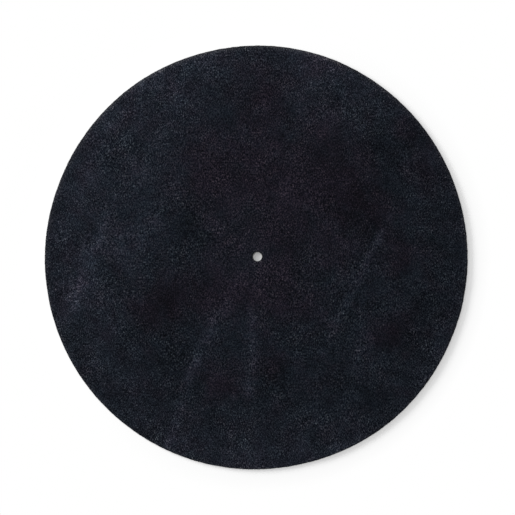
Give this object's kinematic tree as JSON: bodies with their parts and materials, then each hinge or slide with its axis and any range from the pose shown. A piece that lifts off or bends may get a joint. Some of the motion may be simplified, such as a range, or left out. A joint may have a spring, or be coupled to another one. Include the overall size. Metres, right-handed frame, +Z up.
{
  "type": "turntable platter mat",
  "caption": "Round suede leather mat with a spindle hole, laid on a turntable platter to carry and grip a record.",
  "frame": {"origin": "on the spindle hole's axis, in the plane of the underside", "axes": "+Z up out of the suede side; +X to the right and +Y to the top of the picture, which looks straight down on the mat"},
  "size_m": [0.2946, 0.2952, 0.0022],
  "materials": {
    "suede": "matte"
  },
  "bodies": {
    "root": {"platter_mat": "suede"}
  },
  "joints": []
}
